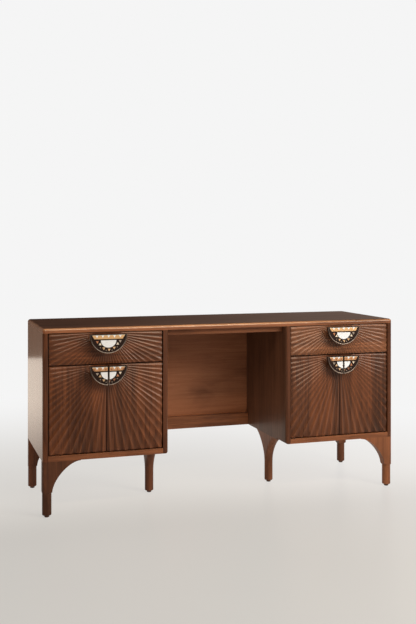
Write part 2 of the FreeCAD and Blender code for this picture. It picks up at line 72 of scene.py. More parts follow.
class Nodes:
    """Short calls to make and join shader nodes."""

    def __init__(self, tree):
        self.tree = tree
        self.nodes = tree.nodes
        self.nodes.clear()

    def add(self, kind, **settings):
        node = self.nodes.new("ShaderNode" + kind)
        for name, value in settings.items():
            setattr(node, name, value)
        return node

    def put(self, socket, value):
        """Joins an output to a socket, or sets the socket's own value."""
        if isinstance(value, bpy.types.NodeSocket):
            self.tree.links.new(value, socket)
        elif value is not None:
            socket.default_value = value

    def put_all(self, sockets, values):
        for socket, value in zip(sockets, values):
            self.put(socket, value)

    def math(self, operation, a, b=None):
        node = self.add("Math", operation=operation)
        self.put_all(node.inputs, (a, b))
        return node.outputs[0]

    def product(self, first, *others):
        """All the values multiplied together."""
        total = first
        for value in others:
            total = self.math("MULTIPLY", total, value)
        return total

    def weighted(self, *terms):
        """The sum of values, each given with its weight."""
        total = None
        for value, weight in terms:
            part = self.math("MULTIPLY", value, weight)
            total = part if total is None else self.math("ADD", total, part)
        return total

    def ramp(self, value, low, high, to_low=0.0, to_high=1.0, smooth=True):
        """A value taken from one range to another, and held at its ends."""
        node = self.add("MapRange", interpolation_type="SMOOTHSTEP" if smooth else "LINEAR", clamp=True)
        self.put_all(node.inputs, (value, low, high, to_low, to_high))
        return node.outputs[0]

    def spread(self, noise, low, high):
        """A noise taken from its usual span to a range of values."""
        return self.ramp(noise, *NOISE_SPAN, low, high)

    def noise(self, vector, scale=1.0, detail=2.0, rough=0.5, distortion=0.0):
        node = self.add("TexNoise")
        self.put(node.inputs["Vector"], vector)
        node.inputs["Scale"].default_value = scale
        node.inputs["Detail"].default_value = detail
        node.inputs["Roughness"].default_value = rough
        node.inputs["Distortion"].default_value = distortion
        return node.outputs["Fac"]

    def stretch(self, vector, scale, location=(0, 0, 0)):
        node = self.add("Mapping")
        self.put(node.inputs["Vector"], vector)
        node.inputs["Scale"].default_value = scale
        node.inputs["Location"].default_value = location
        return node.outputs[0]

    def mix(self, factor, a, b, blend="MIX"):
        """Two colours mixed by a factor."""
        node = self.add("Mix", data_type="RGBA", blend_type=blend, clamp_factor=True)
        self.put(node.inputs["Factor"], factor)
        self.put(node.inputs[6], a)
        self.put(node.inputs[7], b)
        return node.outputs[2]

    def mix_shaders(self, factor, a, b):
        node = self.add("MixShader")
        self.put_all(node.inputs, (factor, a, b))
        return node.outputs[0]

    def split(self, vector):
        """The X, Y and Z parts of a vector."""
        node = self.add("SeparateXYZ")
        self.put(node.inputs[0], vector)
        return node.outputs

    def place(self):
        """The shaded point's place in the frame."""
        return self.add("TexCoord").outputs["Object"]

    def facing(self, axis):
        """How far a face looks along an axis, from -1 to 1."""
        return self.split(self.add("TexCoord").outputs["Normal"])[AXES[axis]]

    def bump(self, height, strength, distance):
        node = self.add("Bump")
        node.inputs["Strength"].default_value = strength
        node.inputs["Distance"].default_value = distance
        self.put(node.inputs["Height"], height)
        return node.outputs[0]


def new_material(name):
    """(material, its node tools, its shader)"""
    material = bpy.data.materials.new(name)
    material.use_nodes = True
    tools = Nodes(material.node_tree)
    output = tools.add("OutputMaterial")
    shader = tools.add("BsdfPrincipled")
    tools.put(output.inputs[0], shader.outputs[0])
    return material, tools, shader


def rgb(red, green, blue):
    """A colour given as the screen shows it, 0 to 255, as the linear colour that shaders take."""
    def linear(value):
        share = value / 255
        return share / 12.92 if share <= 0.04045 else ((share + 0.055) / 1.055) ** 2.4
    return (linear(red), linear(green), linear(blue), 1.0)


# Wood

# Layers of its figure: features to a metre along and across the grain, a shift that sets each layer apart,
# and the noise's own settings
SLOW = {"along": 0.9, "across": 6.0, "shift": 3.1, "detail": 3.0, "rough": 0.55, "distortion": 0.4}
STREAK = {"along": 2.2, "across": 85.0, "shift": 7.7, "detail": 4.0, "rough": 0.6, "distortion": 0.2}
FINE = {"along": 7.0, "across": 240.0, "shift": 5.3, "detail": 4.0, "rough": 0.65}
STAIN = {"along": 3.0, "across": 7.0, "shift": 4.3, "detail": 3.0, "rough": 0.55, "distortion": 0.6}
PORES = {"along": 45.0, "across": 1900.0, "shift": 2.9, "detail": 1.0, "rough": 0.5}
SHIFT_SHARES = (1.0, 0.7, 1.3)
SLOW_WEIGHT = 0.70
STREAK_WEIGHT = 0.90
FINE_WEIGHT = 0.60
RING_WEIGHT = -0.10
RING_COUNT = 12.0
TONE_MIDDLE = 1.07
TONE_REACH = 0.30
STAVE_WIDTH = 98 * MM
STAVE_CONTRAST = 0.24
STAVE_SEED = 17.0
STAIN_SPAN = (0.46, 0.72)
STAIN_STRENGTH = 0.6
STAIN_TINT = (0.45, 0.42, 0.40, 1.0)
PORE_SPAN = (0.60, 0.72)
PORE_STREAK_SPAN = (0.35, 0.7)
PORE_LEAST = 0.35
PORE_STRENGTH = 0.45
PORE_SHADE = 0.35
GRAIN_HEIGHT = 0.5
GRAIN_BUMP = 0.14
GRAIN_DEPTH = 0.6 * MM
POLISH_SPAN = (0.6, 1.5)
DULLER = 0.07
GLOSSIER = -0.05

# Carved wood: painted shade, a dark colour, in the valleys and along the border of the carving, and lighter
# crests, partly rubbed wood and partly a painted highlight
PAINTED_SHADE_SHARE = 0.3
VALLEY_SPAN = (0.05, 0.75)
VALLEY_PAINTED_SHADE = 0.30
CREST_SPAN = (0.88, 1.0)
CREST_RUBBED_AND_HIGHLIGHT = 0.32
BORDER_SPAN = (0.1, 0.8)
BORDER_PAINTED_SHADE = 0.8
RUBBED_AND_HIGHLIGHT_TONE = rgb(164, 104, 66)


def shaded(colour, share):
    """A colour darkened to a share of its light."""
    return [value * share for value in colour[:3]] + [1.0]


def wood(name, grain, tones, seed, figure=1.0, rough=0.45, specular=0.15, coat=0.3, coat_rough=0.26,
         staves=None, carved=False, masked=()):
    """Stained wood with its grain along one axis: slow tone, streaks, rings, stain, pores and satin lacquer.

    tones is (dark, light), and a higher figure sets them off more sharply; staves is (axis across the boards,
    board width); masked holds (mask, tones) for other tones, each shown where mask(tools) gives 1; coat is a
    number, or a function that makes the coat's own mask.
    """
    material, tools, shader = new_material(name)
    place = tools.place()
    dark, light = tones

    def layer(along, across, shift, **settings):
        """One noise of the figure, drawn out along the grain."""
        scale = [across] * 3
        scale[AXES[grain]] = along
        shifts = [seed * shift * share for share in SHIFT_SHARES]
        return tools.noise(tools.stretch(place, scale, shifts), **settings)

    slow, streak, fine = layer(**SLOW), layer(**STREAK), layer(**FINE)
    ring = tools.math("FRACT", tools.math("ADD", tools.math("MULTIPLY", slow, RING_COUNT), streak))
    ring = tools.product(ring, ring)
    tone = tools.weighted((slow, SLOW_WEIGHT), (streak, STREAK_WEIGHT), (fine, FINE_WEIGHT),
                          (ring, RING_WEIGHT))
    if staves is not None:
        across_axis, width = staves
        index = tools.math("FLOOR", tools.math("DIVIDE", tools.split(place)[AXES[across_axis]], width))
        white = tools.add("TexWhiteNoise", noise_dimensions="1D")
        tools.put(white.inputs["W"], tools.math("ADD", index, seed * STAVE_SEED))
        board = tools.math("SUBTRACT", white.outputs["Value"], 0.5)
        tone = tools.math("ADD", tone, tools.math("MULTIPLY", board, STAVE_CONTRAST))
    share = tools.ramp(tone, TONE_MIDDLE - TONE_REACH / figure, TONE_MIDDLE + TONE_REACH / figure)
    colour = tools.mix(share, dark, light)
    for mask, (masked_dark, masked_light) in masked:
        colour = tools.mix(mask(tools), colour, tools.mix(share, masked_dark, masked_light))
    stained = tools.mix(1.0, colour, STAIN_TINT, "MULTIPLY")
    colour = tools.mix(tools.ramp(layer(**STAIN), *STAIN_SPAN, 0.0, STAIN_STRENGTH), colour, stained)
    pores = tools.product(tools.ramp(layer(**PORES), *PORE_SPAN),
                          tools.ramp(streak, *PORE_STREAK_SPAN, PORE_LEAST, 1.0))
    colour = tools.mix(tools.math("MULTIPLY", pores, PORE_STRENGTH), colour, shaded(dark, PORE_SHADE))
    height = tools.math("SUBTRACT", tools.math("MULTIPLY", fine, GRAIN_HEIGHT), pores)
    if carved:
        crest = tools.add("Attribute", attribute_name="crest").outputs["Fac"]
        edge = tools.add("Attribute", attribute_name="edge").outputs["Fac"]
        painted_shade = shaded(dark, PAINTED_SHADE_SHARE)
        # Painted shade in the valleys of the flutes
        colour = tools.mix(tools.ramp(crest, *VALLEY_SPAN, VALLEY_PAINTED_SHADE, 0.0), colour, painted_shade)
        # Painted highlight on the crests, partly rubbed wood
        colour = tools.mix(tools.ramp(crest, *CREST_SPAN, 0.0, CREST_RUBBED_AND_HIGHLIGHT), colour, RUBBED_AND_HIGHLIGHT_TONE)
        # Painted shade along the border, at the gaps round the front
        colour = tools.mix(tools.ramp(edge, *BORDER_SPAN, 0.0, BORDER_PAINTED_SHADE), colour, painted_shade)
    tools.put(shader.inputs["Base Color"], colour)
    polish = tools.ramp(tone, *POLISH_SPAN, rough + DULLER, rough + GLOSSIER, smooth=False)
    tools.put(shader.inputs["Roughness"], polish)
    tools.put(shader.inputs["Normal"], tools.bump(height, GRAIN_BUMP, GRAIN_DEPTH))
    shader.inputs["Specular IOR Level"].default_value = specular
    tools.put(shader.inputs["Coat Weight"], coat(tools) if callable(coat) else coat)
    shader.inputs["Coat Roughness"].default_value = coat_rough
    return material


# Shapes from the frame

WELD = 0.002 * MM
FLAT = math.radians(0.4)
SHARP = math.radians(34)
SMOOTH = math.radians(32)
JOINT_REACH = 0.05 * MM


def linked(name, data):
    """A new object in the scene."""
    piece = bpy.data.objects.new(name, data)
    bpy.context.scene.collection.objects.link(piece)
    return piece


def smooth(mesh, angle=SMOOTH):
    """Smooth shading, apart from the edges that turn by more than an angle."""
    for polygon in mesh.polygons:
        polygon.use_smooth = True
    mesh.set_sharp_from_angle(angle=angle)


def eased(node, radius, joints=(), open_ends=False):
    """A copy of a node with its flat faces joined and its sharp edges eased; it stands for the node.

    Edges that lie at one of the heights in joints stay sharp, so that no groove shows where pieces are glued,
    apart from those at the node's two ends where open_ends is set.
    """
    form = bmesh.new()
    form.from_mesh(nodes[node].data)
    bmesh.ops.remove_doubles(form, verts=form.verts, dist=WELD)
    bmesh.ops.dissolve_limit(form, angle_limit=FLAT, verts=form.verts, edges=form.edges)

    low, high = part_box(node)

    def at_end(edge):
        return any(all(abs(v.co.x - end) < JOINT_REACH for v in edge.verts) for end in (low.x, high.x))

    def glued(edge):
        level = any(all(abs(v.co.z - joint) < JOINT_REACH for v in edge.verts) for joint in joints)
        return level and not (open_ends and at_end(edge))

    sharp = [e for e in form.edges if len(e.link_faces) == 2 and e.calc_face_angle() > SHARP and not glued(e)]
    bmesh.ops.bevel(form, geom=sharp, offset=radius, offset_type="OFFSET", segments=2, profile=0.5,
                    affect="EDGES", clamp_overlap=True)
    mesh = bpy.data.meshes.new(node + "_eased")
    form.to_mesh(mesh)
    form.free()
    smooth(mesh)
    piece = linked(node + "_eased", mesh)
    weighted = piece.modifiers.new("weighted", "WEIGHTED_NORMAL")
    weighted.keep_sharp = True
    weighted.weight = 100
    stand_for(piece, node)
    return piece


def stand_for(piece, node):
    """A piece takes a node's place, on its body and with its finish."""
    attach(piece, body_of_node[node])
    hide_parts(node)


# Carved fronts

FLUTES = 36
PITCH = math.pi / FLUTES
FLUTE_SHIFT = 0.5
LAND_SHARE = 0.06
DEPTH_SHARE = 0.0131
SEAT_RADIUS = 60 * MM
SEAT_DEPTH = 1.0 * MM
COLUMNS = 8
ROWS = 7
BORDER = 2.5 * MM
BORDER_EASE = 1.0 * MM
CARVED_SMOOTH = math.radians(40)
TINY = 1e-9


def flute_depth(angle, distance):
    """(depth of the carving, nearness to a crest from 0 to 1) on a ray of the sunburst."""
    phase = (angle / PITCH + FLUTE_SHIFT) % 1.0
    place = (phase - LAND_SHARE / 2) / (1 - LAND_SHARE)
    nearness = abs(2 * phase - 1)
    if place <= 0 or place >= 1:
        return 0.0, nearness
    return distance * DEPTH_SHARE * (1 - (2 * place - 1) ** 2), nearness


def ray_angles(near, far, drop):
    """Angles of the rays that the front's mesh follows, from the outward run of its top edge downwards."""
    last = math.atan2(drop, near) if near > 0 else math.pi
    angles = {0.0, last, math.atan2(drop, far)}
    if near < 0:
        angles.add(math.atan2(drop, near))
    for flute in range(FLUTES + 1):
        for column in range(COLUMNS + 1):
            share = LAND_SHARE / 2 + (1 - LAND_SHARE) * column / COLUMNS
            angle = (flute - FLUTE_SHIFT + share) * PITCH
            if 0 < angle < last:
                angles.add(angle)
    return sorted(angles)


def carved_front(node, centre_x):
    """A fluted front: rays of the sunburst from its seat to its edges, walls round it and a flat back."""
    low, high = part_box(node)
    hand = -1 if high.x < centre_x else 1
    near, far = sorted((hand * (low.x - centre_x), hand * (high.x - centre_x)))
    drop = high.z - low.z
    form = bmesh.new()
    crest = form.verts.layers.float.new("crest")
    edge = form.verts.layers.float.new("edge")

    def point(angle, distance, depth, nearness=0.0, outside=0.0):
        made = form.verts.new((centre_x + hand * distance * math.cos(angle), low.y + depth,
                               high.z - distance * math.sin(angle)))
        made[crest] = nearness
        made[edge] = outside
        return made

    def reach_of(cosine, sine, inset):
        """How far a ray runs before it meets the front's outline, drawn in by the inset."""
        return min((drop - inset) / sine if sine > TINY else math.inf,
                   (far - inset) / cosine if cosine > TINY else math.inf,
                   (near + inset) / cosine if cosine < -TINY else math.inf)

    rays, seat = [], []
    for angle in ray_angles(near, far, drop):
        cosine, sine = math.cos(angle), math.sin(angle)
        reach = reach_of(cosine, sine, 0.0)
        start = max(SEAT_RADIUS, near / cosine) if near > 0 else SEAT_RADIUS
        start = min(start, reach)
        inner = max(start, reach_of(cosine, sine, BORDER))
        ray = []
        for row in range(ROWS):
            distance = start + (inner - start) * row / (ROWS - 1)
            depth, nearness = flute_depth(angle, distance)
            ray.append(point(angle, distance, depth, nearness))
        depth, nearness = flute_depth(angle, reach)
        ease = BORDER_EASE * min(1.0, (reach - start) / (2 * BORDER))
        ray.append(point(angle, reach, depth + ease, nearness, 1.0))
        rays.append(ray)
        if start == SEAT_RADIUS:
            seat.append((point(angle, SEAT_RADIUS, SEAT_DEPTH), ray[0]))
    for left, right in zip(rays, rays[1:]):
        for row in range(ROWS):
            form.faces.new((left[row], left[row + 1], right[row + 1], right[row]))
    for (floor_a, edge_a), (floor_b, edge_b) in zip(seat, seat[1:]):
        form.faces.new((floor_a, edge_a, edge_b, floor_b))
    outline = list(rays[0]) + [ray[-1] for ray in rays[1:-1]]
    floor_ring = [floor for floor, _ in seat]
    if near > 0:
        outline.append(rays[-1][-1])
        outline += [ray[0] for ray in reversed(rays[len(seat) - 1:-1])]
        corner = form.verts.new((centre_x + hand * near, low.y + SEAT_DEPTH, high.z))
        floor_ring.append(corner)
        outline += [floor_ring[-2], corner, floor_ring[0]]
    else:
        outline += list(reversed(rays[-1]))
        outline += [floor_ring[-1], floor_ring[0]]
    form.faces.new(floor_ring)
    backs = [form.verts.new((v.co.x, high.y, v.co.z)) for v in outline]
    count = len(outline)
    for i in range(count):
        j = (i + 1) % count
        form.faces.new((outline[i], backs[i], backs[j], outline[j]))
    form.faces.new(backs)
    bmesh.ops.remove_doubles(form, verts=form.verts, dist=WELD)
    bmesh.ops.recalc_face_normals(form, faces=form.faces)
    mesh = bpy.data.meshes.new(node + "_carved")
    form.to_mesh(mesh)
    form.free()
    smooth(mesh, CARVED_SMOOTH)
    piece = linked(node + "_carved", mesh)
    stand_for(piece, node)
    return piece


# Inlay of the pulls, in millimetres across from the pull's middle and down from its top edge

BAND = [(-68.6, 3.0), (68.6, 3.0), (58.5, 18.8), (-58.5, 18.8)]
BAND_EDGE = [(-68.6, 3.0), (68.6, 3.0), (67.6, 4.6), (-67.6, 4.6)]
BAND_STEP = 24.0
BAND_REACH = 2
BAND_TILE_DOWN = 7.3
BAND_TILE_SIZE = 12.5
BAND_GAP_DOWN = 12.6
BAND_GAP_SIZE = 10.0
DISC_TOP = 23.7
DISC_RADIUS = 32.0
DISC_HEIGHT = 30.0
RING = [(-46.6, 30.5, 1), (-35.0, 38.7, -1), (-20.0, 56.7, 1), (2.0, 62.7, 1), (23.0, 55.7, 1),
        (37.5, 38.7, -1), (48.0, 29.0, 1)]
RING_TILE_SIZE = 11.8
RING_TILES = {
    "drawer": ("orange", "cream", "tan", "tan", "tan", "cream", "grey"),
    "left_door": ("grey", "tan", "tan", "tan", "tan", "tan", "tan"),
    "right_door": ("orange", "orange", "orange", "orange", "brown", "orange", "cream"),
}
DOTS = [(-34.0, 53.0), (36.0, 52.0), (-10.5, 64.5), (14.0, 64.5)]
DOT_RADIUS = 2.2
DOT_CORNERS = 12
ARC_STEPS = 48
BASE_SHARE = 0.36
POINT_SHARE = 0.54

# Depths below the front of the pull, how far some tiles stand above the rest, and the easing of their edges
FIELD_SINK = 0.9
FIELD_BACK = 2.9
TILE_SINK = 0.25
TILE_ROOT = 0.2
EDGE_RAISE = 0.06
POINT_RAISE = 0.12
DISC_RAISE = 0.05
THIN_EASE = 0.05
TILE_EASE = 0.25
DISC_EASE = 0.5

# Tones of the tiles: two colours that cloud into each other, and where they differ, the polish and the clouds
INLAY_TONES = {
    "field": {"colour": rgb(26, 15, 12), "other": rgb(40, 25, 20), "rough": 0.5, "clouds": 90.0,
              "specular": 0.15, "coat": 0.0},
    "band": {"colour": rgb(196, 150, 98), "other": rgb(218, 176, 124), "rough": 0.36, "clouds": 160.0},
    "door_band": {"colour": rgb(172, 122, 80), "other": rgb(198, 148, 100), "rough": 0.36, "clouds": 160.0},
    "bone": {"colour": rgb(222, 222, 222), "other": rgb(236, 237, 239), "rough": 0.3, "clouds": 60.0},
    "cream": {"colour": rgb(214, 196, 170), "other": rgb(232, 218, 196)},
    "tan": {"colour": rgb(200, 160, 116), "other": rgb(220, 184, 142)},
    "orange": {"colour": rgb(168, 104, 68), "other": rgb(196, 134, 92)},
    "brown": {"colour": rgb(126, 76, 48), "other": rgb(162, 104, 68)},
    "grey": {"colour": rgb(150, 134, 120), "other": rgb(176, 162, 146)},
    "dot": {"colour": rgb(118, 104, 92), "other": rgb(156, 140, 124)},
}
INLAY_ORDER = list(INLAY_TONES)


def clipped(points, limit, sign):
    """The part of an outline on one side of an upright line."""
    out = []
    for a, b in zip(points, points[1:] + points[:1]):
        inside_a, inside_b = sign * (a[0] - limit) >= 0, sign * (b[0] - limit) >= 0
        if inside_a:
            out.append(a)
        if inside_a != inside_b:
            share = (limit - a[0]) / (b[0] - a[0])
            out.append((limit, a[1] + (b[1] - a[1]) * share))
    return out


def arc_points(radius, top, height_share=1.0):
    """A half disc that hangs from a level edge."""
    angles = [math.pi * i / ARC_STEPS for i in range(ARC_STEPS + 1)]
    return [(radius * math.cos(a), top + radius * height_share * math.sin(a)) for a in angles]


def dot_points(across, down):
    """A small round tile."""
    angles = [2 * math.pi * i / DOT_CORNERS for i in range(DOT_CORNERS)]
    return [(across + DOT_RADIUS * math.cos(a), down + DOT_RADIUS * math.sin(a)) for a in angles]


def triangle(middle, down, size, pointing):
    """A tile with its point down (1) or up (-1)."""
    base = down - pointing * size * BASE_SHARE
    point = down + pointing * size * POINT_SHARE
    return [(middle - size / 2, base), (middle + size / 2, base), (middle, point)]


def tile(form, points, front, back, ease, place, material):
    """Adds one flat tile with an eased front edge to a mesh."""
    if len(points) < 3:
        return
    middle_x = sum(p[0] for p in points) / len(points)
    middle_d = sum(p[1] for p in points) / len(points)

    def ring(inset, sink):
        made = []
        for across, down in points:
            length = math.hypot(across - middle_x, down - middle_d)
            share = max(0.0, 1 - inset / length) if length else 1.0
            made.append(form.verts.new(place(middle_x + (across - middle_x) * share,
                                             middle_d + (down - middle_d) * share, sink)))
        return made

    rings = [ring(0.0, back), ring(0.0, front + ease), ring(ease, front)]
    faces = [form.faces.new(rings[-1])]
    for lower, upper in zip(rings, rings[1:]):
        for i in range(len(points)):
            j = (i + 1) % len(points)
            faces.append(form.faces.new((lower[i], lower[j], upper[j], upper[i])))
    for face in faces:
        face.material_index = material


def inlay(pull, node, centre_x, kind, materials):
    """The tiles in one pull's tray, cut at the gap where the pull is half of a pair."""
    low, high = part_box(pull)
    field_low, field_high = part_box(node)
    left = (field_low.x - centre_x) / MM
    right = (field_high.x - centre_x) / MM
    form = bmesh.new()

    def place(across, down, sink):
        return (centre_x + across * MM, low.y + sink * MM, high.z - down * MM)

    def cut(points):
        points = clipped(points, left, 1)
        return clipped(points, right, -1) if len(points) > 2 else points

    def add(points, name, raised=0.0, ease=TILE_EASE):
        tile(form, cut(points), TILE_SINK - raised, FIELD_SINK + TILE_ROOT, ease, place,
             INLAY_ORDER.index(name))

    radius = (field_high.z - field_low.z) / MM
    top = (high.z - field_high.z) / MM
    tile(form, cut(arc_points(radius, top)), FIELD_SINK, FIELD_BACK, THIN_EASE, place,
         INLAY_ORDER.index("field"))
    add(BAND, "band" if kind == "drawer" else "door_band")
    add(BAND_EDGE, "cream", EDGE_RAISE, THIN_EASE)
    for number in range(-BAND_REACH, BAND_REACH + 1):
        if number or kind == "drawer":
            add(triangle(BAND_STEP * number, BAND_TILE_DOWN, BAND_TILE_SIZE, 1), "bone", POINT_RAISE)
    if kind != "drawer":
        for number in range(-BAND_REACH - 1, BAND_REACH + 1):
            add(triangle(BAND_STEP * (number + 0.5), BAND_GAP_DOWN, BAND_GAP_SIZE, -1), "brown", POINT_RAISE)
    add(arc_points(DISC_RADIUS, DISC_TOP, DISC_HEIGHT / DISC_RADIUS), "bone", DISC_RAISE, DISC_EASE)
    for (across, down, pointing), name in zip(RING, RING_TILES[kind]):
        add(triangle(across, down, RING_TILE_SIZE, pointing), name)
    for across, down in DOTS:
        add(dot_points(across, down), "dot")
    bmesh.ops.recalc_face_normals(form, faces=form.faces)
    mesh = bpy.data.meshes.new(node + "_tiles")
    form.to_mesh(mesh)
    form.free()
    for name in INLAY_ORDER:
        mesh.materials.append(materials[name])
    stand_for(linked(node + "_tiles", mesh), node)


# Tiles, metal and plastic

TILE_STREAK = 6
TILE_CLOUD_SPAN = (0.3, 0.75)
TILE_GLOSSIER = -0.06
TILE_DULLER = 0.08

PULL_DARK = rgb(44, 31, 26)
# Lighter metal low on the front rim: a painted reflection of the floor
PULL_PAINTED_REFLECTION = rgb(178, 162, 148)
PULL_WEAR_AND_REFLECTION = 140.0
PULL_REFLECTION_PATCH_SPAN = (0.2, 0.7)
PULL_REFLECTION_PATCH_LEAST = 0.6
PULL_REFLECTION_RISE_SHARE = 0.8
PULL_TOP_REFLECTION = 0.12
PULL_ROUGH = (0.26, 0.40)
PULL_BUMP = 0.08
PULL_DEPTH = 0.4 * MM
PULL_METALLIC = 0.4

STEEL_LINES = (900, 12, 900)
STEEL_ROUGH = (0.28, 0.42)
BRASS_DARK = rgb(176, 138, 70)
BRASS_LIGHT = rgb(208, 172, 100)
BRASS_LINES = (200, 200, 2500)
BRASS_ROUGH = (0.22, 0.36)
PLASTIC_GRAIN = 900.0
PLASTIC_ROUGH = (0.45, 0.6)
PLASTIC_BUMP = 0.1
PLASTIC_DEPTH = 0.2 * MM


def tile_material(name, colour, other, rough=0.34, clouds=120.0, specular=0.5, coat=0.2):
    """A polished tile with cloudy colour and fine streaks."""
    material, tools, shader = new_material(name)
    scale = (clouds, clouds, clouds * TILE_STREAK)
    cloud = tools.noise(tools.stretch(tools.place(), scale), detail=3.0, rough=0.6)
    tools.put(shader.inputs["Base Color"], tools.mix(tools.ramp(cloud, *TILE_CLOUD_SPAN), colour, other))
    tools.put(shader.inputs["Roughness"], tools.spread(cloud, rough + TILE_GLOSSIER, rough + TILE_DULLER))
    shader.inputs["Specular IOR Level"].default_value = specular
    shader.inputs["Coat Weight"].default_value = coat
    return material


def pull_metal(name, pull):
    """Cast metal, dark in the hollows, with a painted reflection of the floor: a dull silver in patches low
    on its front rim.
    """
    material, tools, shader = new_material(name)
    place = tools.place()
    low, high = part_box(pull)
    reflection_to = low.z + PULL_REFLECTION_RISE_SHARE * (high.z - low.z)
    lower = tools.ramp(tools.split(place)[AXES["z"]], low.z, reflection_to, 1.0, PULL_TOP_REFLECTION)
    wear_and_reflection = tools.noise(place, PULL_WEAR_AND_REFLECTION, detail=4.0, rough=0.6)
    patches = tools.ramp(wear_and_reflection, *PULL_REFLECTION_PATCH_SPAN, PULL_REFLECTION_PATCH_LEAST, 1.0)
    # Painted reflection of the floor: a dull silver low on the front rim, in patches
    painted_reflection = tools.product(facing_front(tools), lower, patches)
    tools.put(shader.inputs["Base Color"], tools.mix(painted_reflection, PULL_DARK, PULL_PAINTED_REFLECTION))
    tools.put(shader.inputs["Roughness"], tools.spread(wear_and_reflection, *PULL_ROUGH))
    tools.put(shader.inputs["Normal"], tools.bump(wear_and_reflection, PULL_BUMP, PULL_DEPTH))
    shader.inputs["Metallic"].default_value = PULL_METALLIC
    return material


def lined_metal(name, dark, light, lines, rough):
    """Bare metal with the fine lines that its rolling or turning leaves."""
    material, tools, shader = new_material(name)
    lined = tools.noise(tools.stretch(tools.place(), lines))
    tools.put(shader.inputs["Base Color"], tools.mix(lined, dark, light))
    tools.put(shader.inputs["Roughness"], tools.spread(lined, *rough))
    shader.inputs["Metallic"].default_value = 1.0
    return material


def moulded(name, colour, other):
    """Moulded plastic with a fine grain."""
    material, tools, shader = new_material(name)
    grain = tools.noise(tools.place(), PLASTIC_GRAIN, detail=3.0, rough=0.6)
    tools.put(shader.inputs["Base Color"], tools.mix(grain, colour, other))
    tools.put(shader.inputs["Roughness"], tools.spread(grain, *PLASTIC_ROUGH))
    tools.put(shader.inputs["Normal"], tools.bump(grain, PLASTIC_BUMP, PLASTIC_DEPTH))
    return material


# Dressing the frame

# Tones of the stained wood: dark, light
BROWN = (rgb(60, 34, 21), rgb(132, 76, 45))
RIGHT_DOOR = (rgb(56, 32, 20), rgb(123, 71, 42))
RIGHT_DRAWER = (rgb(83, 49, 31), rgb(154, 98, 64))
# Level boards, the top's front and the right legs: lighter than the uprights, a painted sheen across their
# grain
RAIL_PAINTED_SHEEN = (rgb(94, 54, 32), rgb(157, 96, 60))
PANEL = (rgb(134, 80, 51), rgb(186, 121, 83))
KNEE = (rgb(68, 44, 31), rgb(124, 80, 55))
TOP = (rgb(50, 29, 19), rgb(94, 58, 39))
# Front roundover of the top: lighter, partly rubbed wood and partly a painted highlight
ROUNDOVER_RUBBED_AND_HIGHLIGHT = (rgb(138, 92, 60), rgb(206, 150, 106))
STILE = (rgb(54, 29, 16), rgb(104, 58, 33))
POST = (rgb(54, 31, 19), rgb(114, 67, 41))
SIDE = (rgb(74, 42, 25), rgb(146, 88, 54))
INNER = (rgb(92, 58, 38), rgb(150, 104, 72))
FRONT_TONES = {
    "left": {"drawer": BROWN, "door": BROWN},
    "right": {"drawer": RIGHT_DRAWER, "door": RIGHT_DOOR},
}
FRONT_LOOK = {"figure": 0.75, "coat": 0.36, "coat_rough": 0.14, "carved": True}

# Easing of the edges
SLAB_EASE = 1.5 * MM
RAIL_EASE = 1.2 * MM
PANEL_EASE = 1.0 * MM
SIDE_EASE = 1.2 * MM
BOARD_EASE = 0.8 * MM
LEG_EASE = 1.6 * MM
INNER_EASE = 0.6 * MM
PULL_EASE = 0.5 * MM

# First seeds of each group's figure
CASE_SEED = 1
INNER_SEED = 40
DRAWER_SEED = 60
DOOR_SEED = 70

# Masks by how far a face looks along an axis: where a mask starts and ends, and its values there
SIDE_LACQUER = (0.7, 0.97, 0.15, 1.0)
SLAB_LACQUER = (0.9, 0.99, 0.9, 0.2)
UP_SPAN = (0.86, 0.99)
BACK_SPAN = (0.5, 0.95)
FRONT_SPAN = (-0.95, -0.5, 1.0, 0.0)
# Where the painted highlight on the top's front roundover goes
ROUND_LOWER = (0.2, 0.5)
ROUND_UPPER = (0.8, 0.96, 1.0, 0.0)
ROUND_FRONT = (-0.25, -0.05, 1.0, 0.35)


def side_lacquer(tools):
    """A full gloss on the broad face of a side, less on its edges."""
    return tools.ramp(tools.math("ABSOLUTE", tools.facing("x")), *SIDE_LACQUER)


def slab_lacquer(tools):
    """A full gloss on the edges of the top, less on its broad face."""
    return tools.ramp(tools.facing("z"), *SLAB_LACQUER)


def facing_up(tools):
    """1 on a level face seen from above."""
    return tools.ramp(tools.facing("z"), *UP_SPAN)


def facing_back(tools):
    """1 on an upright face towards the back."""
    return tools.ramp(tools.facing("y"), *BACK_SPAN)


def facing_front(tools):
    """1 on an upright face towards the front."""
    return tools.ramp(tools.facing("y"), *FRONT_SPAN)


def on_roundover(tools):
    """1 on the roundover between a level face and the front, where lighter tones give rubbed wood and a
    painted highlight; less at the other edges.
    """
    up = tools.facing("z")
    front = tools.ramp(tools.facing("y"), *ROUND_FRONT)
    return tools.product(tools.ramp(up, *ROUND_LOWER), tools.ramp(up, *ROUND_UPPER), front)


def paint(piece, material):
    piece.data.materials.clear()
    piece.data.materials.append(material)


